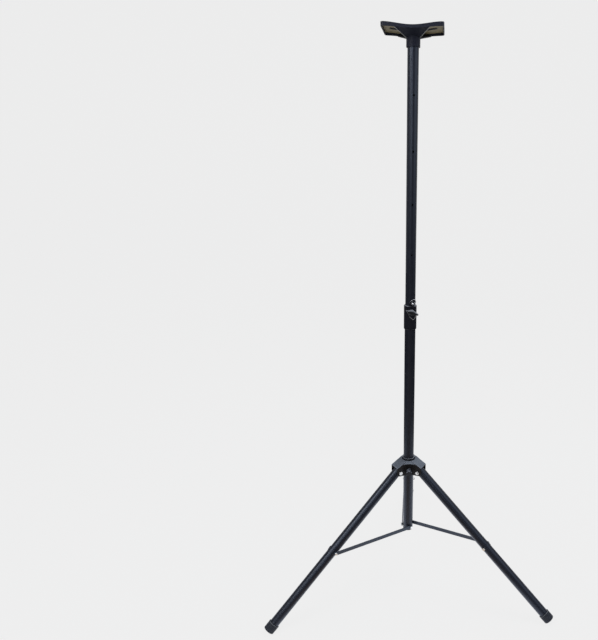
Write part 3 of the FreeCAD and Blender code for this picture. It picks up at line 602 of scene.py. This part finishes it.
@dataclass
class Lanyard:
    """Wire rope from the safety pin's flange to the screw in the collar."""

    azimuth: float = -73.2
    height: float = 1.134
    radius: float = 0.0009
    flange_middle: float = 0.0238
    first_run: float = 0.012
    # Each bend: turn from the pin, distance from the mast's axis, height from the pin
    bends: tuple[Point, ...] = (
        (33.0, 0.0280, -0.0135),
        (34.0, 0.0280, -0.0250),
        (28.5, 0.0280, -0.0400),
        (21.0, 0.0275, -0.0540),
        (8.0, 0.0275, -0.0575),
        (-10.0, 0.0280, -0.0500),
        (-26.0, 0.0275, -0.0390),
        (-38.0, 0.0265, -0.0300),
    )
    length: float = 0.0905
    strands: int = 6
    lay_length: float = 0.011
    strand_points: int = 4
    valley: float = 0.80
    spline_steps: int = 16
    spline_order: int = 3

    def route(self) -> list[Vector]:
        """Points of the route, from the ferrule at the pin to the ferrule at the mast.

        Returns:
            Points in the stand's frame.
        """
        points = [turned_about_z(turn) @ (X_AXIS * reach) + Z_AXIS * rise for turn, reach, rise in self.bends]
        flange = X_AXIS * self.flange_middle
        points.insert(0, flange + (points[0] - flange).normalized() * self.first_run)
        place = turned_about_z(self.azimuth)
        return [place @ point + Z_AXIS * self.height for point in points]

    def spline_points(self) -> list[Vector]:
        """Points read from the NURBS spline that has the route as its control points.

        Returns:
            Points along the rope's middle.
        """
        curve = bpy.data.curves.new("lanyard_route", "CURVE")
        curve.dimensions = "3D"
        curve.resolution_u = self.spline_steps
        spline = curve.splines.new("NURBS")
        route = self.route()
        spline.points.add(len(route) - 1)
        for control, point in zip(spline.points, route):
            control.co = (*point, 1.0)
        spline.order_u = self.spline_order
        spline.use_endpoint_u = True
        line = bpy.data.objects.new("lanyard_route", curve)
        mesh = bpy.data.meshes.new_from_object(line)
        points = [vertex.co.copy() for vertex in mesh.vertices]
        bpy.data.objects.remove(line)
        bpy.data.meshes.remove(mesh)
        return points

    def section(self, shape: bmesh.types.BMesh) -> list[bmesh.types.BMVert]:
        """Adds one lobed section of the rope, a ring of strands, at the origin.

        Args:
            shape: Mesh that the ring is added to.

        Returns:
            The ring's vertices.
        """
        count = self.strands * self.strand_points
        ring = bmesh.ops.create_circle(shape, segments=count, radius=self.radius)["verts"]
        for number, vertex in enumerate(ring):
            if number % self.strand_points == 0:
                vertex.co *= self.valley
        return ring

    def section_places(self, points: list[Vector]) -> list[Matrix]:
        """Places of the rope's sections, each square to the rope and twisted by the lay of its strands.

        Args:
            points: Points along the rope's middle.

        Returns:
            One matrix for each point.
        """
        places = []
        run = 0.0
        side = (points[1] - points[0]).orthogonal().normalized()
        for before, point, ahead in zip(points[:1] + points, points, points[1:] + points[-1:]):
            along = (ahead - before).normalized()
            side = (side - along * side.dot(along)).normalized()
            run += (point - before).length
            basis = Matrix((side, along.cross(side), along)).transposed().to_4x4()
            twist = Matrix.Rotation(run / self.lay_length * math.tau, 4, "Z")
            places.append(Matrix.Translation(point) @ basis @ twist)
        return places

    def build(self) -> None:
        points = self.spline_points()
        shape = bmesh.new()
        ring = self.section(shape)
        place = Matrix.Identity(4)
        for number, section_place in enumerate(self.section_places(points)):
            if number > 0:
                ring = extruded(shape, ring)
            bmesh.ops.transform(shape, matrix=section_place @ place.inverted(), verts=ring)
            place = section_place
        bmesh.ops.holes_fill(shape, edges=shape.edges)
        bmesh.ops.recalc_face_normals(shape, faces=shape.faces)
        shade_smooth(shape, angle=80.0)
        rope = new_piece("wire_lanyard", shape, Finishes.WIRE)
        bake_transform(rope)
        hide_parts("lanyard")


@dataclass
class Mast:
    """Lower tube with its end plug, its clamping collar and the bolts that the struts swing on."""

    collar_edge: float = 0.0006
    plug_edge: float = 0.0006
    bolt_edge: float = 0.0004

    def build(self) -> None:
        """Dresses the tube and rounds the moulded collar, the plug and the bolts."""
        dress("mast_tube", Finishes.PAINT)
        moulded_copy("mast_end_plug", "mast", Finishes.BLACK, self.plug_edge)
        moulded_copy("collar", "mast", Finishes.COLLAR, self.collar_edge)
        dress("clamp_nut", Finishes.BRASS)
        for side in Side:
            moulded_copy("inner_bolt_" + side.value, "mast", Finishes.ZINC, self.bolt_edge)


@dataclass
class ClampKnob:
    """Wing knob on its stud, which clamps the pole in the collar."""

    azimuth: float = -76.2
    height: float = 1.104
    tilt: float = 20.0
    neck_start: float = 0.0293
    wing_start: float = 0.0353
    depth: float = 0.008
    span: float = 0.046
    tip: float = 0.005
    waist: float = 0.020
    neck_radius: float = 0.008
    neck_waist: float = 0.0068
    neck_steps: int = 32
    outline_steps: int = 40
    taper: float = 1.15
    tip_rounding: float = 0.35
    # Each section: share of the depth, then the factors on the outline's length and breadth
    pillow: tuple[Point, ...] = (
        (0.00, 0.94, 0.90),
        (0.10, 1.00, 1.00),
        (0.45, 1.00, 1.00),
        (0.70, 0.97, 0.86),
        (0.88, 0.91, 0.64),
        (1.00, 0.80, 0.34),
    )

    def wing_outline(self, shape: bmesh.types.BMesh) -> list[bmesh.types.BMVert]:
        """Adds the wing's outline, wide in the middle and narrow at rounded tips, round the X axis.

        Args:
            shape: Mesh that the outline is added to.

        Returns:
            The outline's vertices.
        """
        ring = bmesh.ops.create_circle(shape, segments=self.outline_steps, radius=1.0)["verts"]
        for vertex in ring:
            along, across = vertex.co.x, vertex.co.y
            bound = self.tip + (self.waist - self.tip) * (1 - abs(along)) ** self.taper
            rounding = min(1.0, abs(across) / self.tip_rounding)
            vertex.co = (0, along * self.span / 2, math.copysign(rounding * bound / 2, across))
        return ring

    def wing(self, shape: bmesh.types.BMesh) -> None:
        """Adds the wing, a pillow whose front is smaller than its back.

        Args:
            shape: Mesh that the wing is added to.
        """
        ring = self.wing_outline(shape)
        before = (0.0, 1.0, 1.0)
        bmesh.ops.translate(shape, vec=X_AXIS * self.wing_start, verts=ring)
        for share, length, breadth in self.pillow:
            if share > 0:
                ring = extruded(shape, ring)
            bmesh.ops.scale(shape, vec=(1, length / before[1], breadth / before[2]), verts=ring)
            bmesh.ops.translate(shape, vec=X_AXIS * (share - before[0]) * self.depth, verts=ring)
            before = (share, length, breadth)

    def neck(self, shape: bmesh.types.BMesh) -> None:
        """Adds the tapered neck between the collar's boss and the wing.

        Args:
            shape: Mesh that the neck is added to.
        """
        length = self.wing_start - self.neck_start + self.depth * SUNK_SHARE
        middle = Matrix.Translation(X_AXIS * (self.neck_start + length / 2))
        turn = Matrix.Rotation(math.pi / 2, 4, "Y")
        bmesh.ops.create_cone(shape, cap_ends=True, segments=self.neck_steps, radius1=self.neck_radius,
                              radius2=self.neck_waist, depth=length, matrix=middle @ turn)

    def build(self) -> None:
        """Builds the wing and its neck, and dresses the stud."""
        shape = bmesh.new()
        self.wing(shape)
        bmesh.ops.holes_fill(shape, edges=shape.edges)
        self.neck(shape)
        bmesh.ops.recalc_face_normals(shape, faces=shape.faces)
        tilt = Matrix.Rotation(math.radians(-self.tilt), 4, "X")
        place = turned_about_z(self.azimuth) @ Matrix.Translation(Z_AXIS * self.height) @ tilt
        bmesh.ops.transform(shape, matrix=place, verts=shape.verts)
        shade_smooth(shape, angle=40.0)
        knob = new_piece("wing_knob", shape, Finishes.KNOB)
        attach(knob, "clamp")
        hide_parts("clamp_knob")
        dress("clamp_stud", Finishes.ZINC)


@dataclass
class SafetyPin:
    """Pin with its pull ring, and the crimped ends of its lanyard."""

    edge: float = 0.0003
    head_start: float = 0.0285

    def on_head(self, middle: Vector, normal: Vector) -> bool:
        """Whether a face lies on the pin's bright ball head, further out than its flange."""
        return middle.xy.length > self.head_start

    def build(self) -> None:
        """Dresses the pin, the ring, the ferrules and the lanyard's screw."""
        head = (Finishes.CHROME, self.on_head)
        moulded_copy("safety_pin", "pin", Finishes.DULL_STEEL, self.edge, areas=(head,))
        dress("pin_ring", Finishes.RING)
        dress("pin_ferrule", Finishes.DULL_STEEL)
        dress("mast_ferrule", Finishes.DULL_STEEL)
        moulded_copy("anchor_screw", "mast", Finishes.BLACK, self.edge)


@dataclass
class Pole:
    """Sliding upper tube and the plugs in its ends."""

    plug_edge: float = 0.0005

    def build(self) -> None:
        """Dresses the tube and its plugs."""
        dress("inner_pole", Finishes.SLIDING_PAINT)
        moulded_copy("pole_foot_plug", "pole", Finishes.BLACK, self.plug_edge)
        dress("pole_head_plug", Finishes.BLACK)


@dataclass
class Tray:
    """Dished speaker tray with its rim, socket, webs and bolt slots."""

    edge: float = 0.0003
    half_length: float = 0.092
    sag: float = 0.008
    centre_top: float = 1.9616
    plate: float = 0.0035
    tolerance: float = 0.0010
    underside_slope: float = -0.5
    slot_middle: float = 0.0475
    slot_straight: float = 0.034
    slot_radius: float = 0.0045
    slot_steps: int = 48
    lip_gap: float = 0.0002
    lip_width: float = 0.0020
    lip_drop: float = 0.0016
    web_top: Point = (0.0510, 0.0665, -0.0065)
    web_foot: Point = (0.0212, 0.0106, -0.0225)
    bead_radius: float = 0.0009
    bead_steps: int = 16

    def underside(self, station: float) -> float:
        """Height of the dished plate's underside.

        Args:
            station: Distance from the tray's middle, along its length.

        Returns:
            The height above the floor.
        """
        rise = self.sag * (1 - math.cos(math.pi * station / self.half_length)) / 2
        return self.centre_top - self.plate + rise

    def on_underside(self, middle: Vector, normal: Vector) -> bool:
        """Tells the plate's bare underside from the webs and the socket below it.

        Args:
            middle: Middle of a face.
            normal: Normal of the face.

        Returns:
            Whether the face belongs to the underside.
        """
        return normal.z < self.underside_slope and middle.z > self.underside(middle.x) - self.tolerance

    def slot_ring(self, shape: bmesh.types.BMesh, radius: float, drop: float) -> list[bmesh.types.BMEdge]:
        """Adds a ring round the slot that follows the plate's dish.

        Args:
            shape: Mesh that the ring is added to.
            radius: Radius of the ring's round ends.
            drop: Depth of the ring below the plate.

        Returns:
            The ring's edges.
        """
        ring = bmesh.ops.create_circle(shape, segments=self.slot_steps, radius=radius)["verts"]
        for vertex in ring:
            station = self.slot_middle + math.copysign(self.slot_straight / 2, vertex.co.x) + vertex.co.x
            vertex.co = (station, vertex.co.y, self.underside(station) - drop)
        return list(dict.fromkeys(edge for vertex in ring for edge in vertex.link_edges))

    def slot_lips(self) -> None:
        """Builds the moulded lip round each slot, below the plate."""
        shape = bmesh.new()
        inner = self.slot_radius + self.lip_gap
        outer = inner + self.lip_width
        sunk = -self.plate * SUNK_SHARE
        profile = ((inner, sunk), (inner, self.lip_drop), (outer, self.lip_drop), (outer, sunk))
        rings = [self.slot_ring(shape, radius, drop) for radius, drop in profile]
        for ring, following in zip(rings, rings[1:] + rings[:1]):
            bmesh.ops.bridge_loops(shape, edges=ring + following)
        add_mirror_image(shape, "X")
        bmesh.ops.recalc_face_normals(shape, faces=shape.faces)
        shade_smooth(shape, angle=50.0)
        lips = new_piece("tray_slot_lips", shape, Finishes.TRAY)
        soften(lips, self.edge)
        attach(lips, "tray")

    def web_beads(self) -> None:
        """Builds the rounded bead along each slanted edge of the front and the rear web, pale as a painted
        highlight.
        """
        shape = bmesh.new()
        run = Vector(self.web_top) - Vector(self.web_foot)
        middle = (Vector(self.web_top) + Vector(self.web_foot)) / 2 + Z_AXIS * self.centre_top
        place = Matrix.Translation(middle) @ run.to_track_quat("Z", "Y").to_matrix().to_4x4()
        bmesh.ops.create_cone(shape, cap_ends=True, segments=self.bead_steps, radius1=self.bead_radius,
                              radius2=self.bead_radius, depth=run.length, matrix=place)
        ends = [edge for edge in shape.edges if any(len(face.verts) > 4 for face in edge.link_faces)]
        bmesh.ops.bevel(shape, geom=ends, offset=self.bead_radius / 2, offset_type="OFFSET", segments=3,
                        profile=0.5, affect="EDGES", material=-1)
        for axis in ("X", "Y"):
            add_mirror_image(shape, axis)
        bmesh.ops.recalc_face_normals(shape, faces=shape.faces)
        shade_smooth(shape, angle=50.0)
        # Pale colour: painted highlight along the webs' edges
        beads = new_piece("tray_web_beads", shape, Finishes.WEB_EDGE_HIGHLIGHT)
        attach(beads, "tray")

    def build(self) -> None:
        """Rounds the moulded tray, colours its underside, and adds the slots' lips and the webs' beads."""
        underside = (Finishes.TRAY_UNDERSIDE, self.on_underside)
        moulded_copy("tray", "tray", Finishes.TRAY, self.edge, areas=(underside,))
        self.slot_lips()
        self.web_beads()


@dataclass
class Hub:
    """Sliding hub with its bush, its lock knob and the bolts that the legs hang on."""

    edge: float = 0.0014
    bush_edge: float = 0.0005
    knob_edge: float = 0.0012
    bolt_edge: float = 0.0005

    def build(self) -> None:
        """Rounds the moulded hub and knob and dresses the metal in them."""
        # The hub's and the lock knob's rounded edges take the painted edge highlight
        moulded_copy("hub", "hub", Finishes.HUB, self.edge, edge_finish=Finishes.HUB_EDGE_HIGHLIGHT)
        moulded_copy("hub_bush", "hub", Finishes.BUSH, self.bush_edge)
        moulded_copy("hub_lock_knob", "hub_lock", Finishes.LOCK, self.knob_edge,
                     edge_finish=Finishes.HUB_EDGE_HIGHLIGHT)
        dress("hub_lock_nut", Finishes.BRASS)
        dress("hub_lock_stud", Finishes.ZINC)
        for side in Side:
            moulded_copy("hinge_bolt_" + side.value, "hub", Finishes.ZINC, self.bolt_edge)
            moulded_copy("hinge_nut_" + side.value, "hub", Finishes.ZINC, self.bolt_edge)


@dataclass
class Leg:
    """One leg: tube, moulded head, ribbed rubber foot, and the clip that carries its strut."""

    side: Side
    azimuth: float
    hinge: tuple[float, float] = (0.0490, 0.4871)
    spread: float = 48.4
    length: float = 0.718
    foot_length: float = 0.031
    foot_radius: float = 0.0195
    lip_radius: float = 0.0011
    rib_radius: float = 0.0006
    rib_pitch: float = 0.0045
    rib_count: int = 3
    ring_points: int = 12
    ring_steps: int = 64
    head_edge: float = 0.0008
    foot_edge: float = 0.0008
    clip_edge: float = 0.0003

    def foot_ring(self, shape: bmesh.types.BMesh, station: float, thickness: float) -> None:
        """Adds a round rib, rather more than half sunk in the foot, by a full spin about the leg's axis.

        Args:
            shape: Mesh that the rib is added to.
            station: Place of the rib along the leg.
            thickness: Radius of the rib's section.
        """
        place = Matrix.Translation((station, self.foot_radius - thickness * SUNK_SHARE, 0))
        section = bmesh.ops.create_circle(shape, segments=self.ring_points, radius=thickness,
                                          matrix=place)["verts"]
        edges = list(dict.fromkeys(edge for vertex in section for edge in vertex.link_edges))
        bmesh.ops.spin(shape, geom=section + edges, cent=(station, 0, 0), axis=X_AXIS, angle=math.tau,
                       steps=self.ring_steps, use_merge=True)

    def foot_rings(self, name: str, stations: list[float], thickness: float, finish: Finish) -> None:
        """Builds a piece of one or more ribs round the foot.

        Args:
            name: Name of the piece, before the leg's own.
            stations: Places of the ribs along the leg.
            thickness: Radius of a rib's section.
            finish: Finish of the piece.
        """
        shape = bmesh.new()
        for station in stations:
            self.foot_ring(shape, station, thickness)
        bmesh.ops.remove_doubles(shape, verts=shape.verts, dist=MERGE_DISTANCE)
        bmesh.ops.recalc_face_normals(shape, faces=shape.faces)
        shade_smooth(shape, angle=60.0)
        lean = Matrix.Rotation(math.radians(90.0 - self.spread), 4, "Y")
        hinge = Matrix.Translation((self.hinge[0], 0, self.hinge[1]))
        bmesh.ops.transform(shape, matrix=turned_about_z(self.azimuth) @ hinge @ lean, verts=shape.verts)
        rings = new_piece(f"{name}_{self.side.value}", shape, finish)
        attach(rings, "leg_" + self.side.value)

    def build(self) -> None:
        """Dresses the leg's tube, rounds its moulded and pressed pieces and ribs its foot."""
        name, body = self.side.value, "leg_" + self.side.value
        dress("leg_tube_" + name, Finishes.PAINT)
        moulded_copy("leg_head_" + name, body, Finishes.BLACK, self.head_edge)
        moulded_copy("foot_cap_" + name, body, Finishes.RUBBER, self.foot_edge)
        moulded_copy("strut_clip_" + name, body, Finishes.CLIP, self.clip_edge)
        moulded_copy("clip_bolt_" + name, body, Finishes.ZINC, self.clip_edge)
        mouth = self.length - self.foot_length + self.lip_radius
        ribs = [mouth + self.rib_pitch * number for number in range(1, self.rib_count + 1)]
        self.foot_rings("foot_lip", [mouth], self.lip_radius, Finishes.RUBBER_LIP)
        self.foot_rings("foot_ribs", ribs, self.rib_radius, Finishes.RUBBER)


@dataclass
class Strut:
    """One flat strut between a leg and the mast, with its rivet."""

    side: Side
    edge: float = 0.0004

    def build(self) -> None:
        """Rounds the strut's edges and dresses its rivet."""
        name, body = self.side.value, "strut_" + self.side.value
        moulded_copy("strut_" + name, body, Finishes.STRUT, self.edge)
        dress("strut_rivet_" + name, Finishes.ZINC)


@dataclass(frozen=True)
class SoftBox:
    """One square soft light."""

    name: str
    place: Point
    aim: Point
    size: float
    power: float
    tint: Colour

    def build(self) -> None:
        """Adds the light, facing the point that it aims at."""
        data = bpy.data.lights.new(self.name, "AREA")
        data.energy = self.power
        data.size = self.size
        data.color = self.tint
        lamp = bpy.data.objects.new(self.name, data)
        lamp.location = self.place
        lamp.rotation_euler = (Vector(self.aim) - Vector(self.place)).to_track_quat("-Z", "Y").to_euler()
        bpy.context.scene.collection.objects.link(lamp)


@dataclass(frozen=True)
class FloorCard:
    """A sector of card round the mast's foot that only reflections see, for the tubes to mirror."""

    name: str
    finish: StagePaper
    near: float
    far: float
    half_angle: float
    lift: float
    steps: int = 48

    def build(self) -> None:
        """Lays the card on the floor, with its middle towards the front."""
        shape = bmesh.new()
        bmesh.ops.create_grid(shape, x_segments=self.steps, y_segments=1, size=1.0)
        for vertex in shape.verts:
            reach = self.near if vertex.co.y > 0 else self.far
            vertex.co = turned_about_z(vertex.co.x * self.half_angle) @ Vector((0, -reach, self.lift))
        card = new_piece(self.name, shape, self.finish)
        card.visible_camera = False
        card.visible_diffuse = False
        card.visible_shadow = False


@dataclass
class Studio:
    """Pale sweep, cards for the reflections, soft lights, and the camera at the photograph's view."""

    floor_depth: float = 9.0
    floor_width: float = 24.0
    wall_height: float = 6.0
    sweep_radius: float = 2.0
    sweep_steps: int = 16
    surround_radius: float = 20.0
    surround_steps: int = 32
    world_colour: Colour = (0.78, 0.86, 1.0)
    world_strength: float = 0.29
    sensor: float = 36.0
    photo_width: float = 598.0
    photo_height: float = 640.0
    focal: float = 565.32
    centre: tuple[float, float] = (417.61, 358.60)
    pitch: float = 19.038
    roll: float = 0.9255
    turn: float = 2.56
    stand_point: Point = (0.0282, -1.9073, 1.5853)
    cards: tuple[FloorCard, ...] = (
        FloorCard("near_card", Finishes.NEAR_CARD, near=0.28, far=0.95, half_angle=38.0, lift=0.004),
        FloorCard("far_card", Finishes.FAR_CARD, near=0.95, far=4.40, half_angle=38.0, lift=0.004),
        FloorCard("pale_ring", Finishes.PALE_CARD, near=0.05, far=0.95, half_angle=180.0, lift=0.002),
        FloorCard("dark_ring", Finishes.DARK_CARD, near=1.10, far=8.00, half_angle=180.0, lift=0.002),
    )
    lights: tuple[SoftBox, ...] = (
        SoftBox("key_light", place=(-2.2, -2.0, 3.2), aim=(0.0, 0.0, 0.8),
                size=1.8, power=72.0, tint=(1.0, 0.98, 0.96)),
        SoftBox("fill_light", place=(2.6, -1.2, 2.6), aim=(0.0, 0.0, 0.9),
                size=2.8, power=28.0, tint=(0.86, 0.92, 1.0)),
        SoftBox("front_light", place=(-0.8, -3.2, 2.2), aim=(0.0, 0.0, 1.7),
                size=1.0, power=14.0, tint=(0.86, 0.92, 1.0)),
        SoftBox("top_light", place=(1.1, 0.6, 3.6), aim=(0.0, 0.0, 0.3),
                size=2.0, power=70.0, tint=(0.90, 0.95, 1.0)),
    )

    def sweep(self) -> None:
        """Builds the floor that curves up into a wall behind the stand."""
        half = self.floor_depth / 2
        shape = bmesh.new()
        widened = Matrix.Diagonal((self.floor_width / self.floor_depth, 1, 1, 1))
        bmesh.ops.create_grid(shape, x_segments=1, y_segments=1, size=half, matrix=widened)
        back = [edge for edge in shape.edges if all(vertex.co.y > 0 for vertex in edge.verts)]
        pivot = Vector((0, half, self.sweep_radius))
        made = bmesh.ops.spin(shape, geom=back, cent=pivot, axis=X_AXIS, angle=math.pi / 2,
                              steps=self.sweep_steps)["geom_last"]
        top = [item for item in made if isinstance(item, bmesh.types.BMEdge)]
        wall = bmesh.ops.extrude_edge_only(shape, edges=top)["geom"]
        lifted = [item for item in wall if isinstance(item, bmesh.types.BMVert)]
        bmesh.ops.translate(shape, vec=Z_AXIS * self.wall_height, verts=lifted)
        bmesh.ops.recalc_face_normals(shape, faces=shape.faces)
        shade_smooth(shape)
        floor = new_piece("studio_floor", shape, Finishes.FLOOR)

    def surround(self) -> None:
        """Builds a wide pale dome that only the camera sees, so that views from behind stay pale too."""
        shape = bmesh.new()
        bmesh.ops.create_uvsphere(shape, u_segments=2 * self.surround_steps, v_segments=self.surround_steps,
                                  radius=self.surround_radius)
        shade_smooth(shape)
        dome = new_piece("studio_surround", shape, Finishes.SURROUND)
        dome.visible_diffuse = False
        dome.visible_glossy = False
        dome.visible_shadow = False

    def world(self) -> None:
        """Sets a dim even surround and plain colour management."""
        world = bpy.data.worlds.new("studio")
        world.use_nodes = True
        surround = world.node_tree.nodes["Background"]
        surround.inputs["Color"].default_value = (*self.world_colour, 1.0)
        surround.inputs["Strength"].default_value = self.world_strength
        bpy.context.scene.world = world
        bpy.context.scene.view_settings.view_transform = "Standard"

    def camera(self) -> None:
        """Sets the camera that was fitted to the photograph."""
        data = bpy.data.cameras.new("photo_camera")
        data.sensor_fit = "AUTO"
        data.sensor_width = self.sensor
        data.lens = self.sensor * self.focal / self.photo_height
        data.shift_x = (self.photo_width / 2 - self.centre[0]) / self.photo_height
        data.shift_y = (self.centre[1] - self.photo_height / 2) / self.photo_height
        camera = bpy.data.objects.new("photo_camera", data)
        tilt = Matrix.Rotation(math.radians(90.0 - self.pitch), 4, "X")
        roll = Matrix.Rotation(math.radians(self.roll), 4, "Z")
        camera.matrix_world = turned_about_z(self.turn) @ Matrix.Translation(self.stand_point) @ tilt @ roll
        bpy.context.scene.collection.objects.link(camera)
        bpy.context.scene.camera = camera

    def build(self) -> None:
        """Sets the whole studio up."""
        self.sweep()
        self.surround()
        self.world()
        for item in self.cards + self.lights:
            item.build()
        self.camera()


def main() -> None:
    """Builds the studio and each sub-assembly in order."""
    logging.basicConfig(level=logging.INFO, format="%(name)s: %(message)s")
    assemblies = [Studio(), Lanyard(), Mast(), ClampKnob(), SafetyPin(), Pole(), Tray(), Hub()]
    for side, azimuth in LEG_AZIMUTHS.items():
        assemblies += [Leg(side, azimuth), Strut(side)]
    for assembly in assemblies:
        assembly.build()
        log.info("finished %s", type(assembly).__name__)


if __name__ == "__main__":
    main()
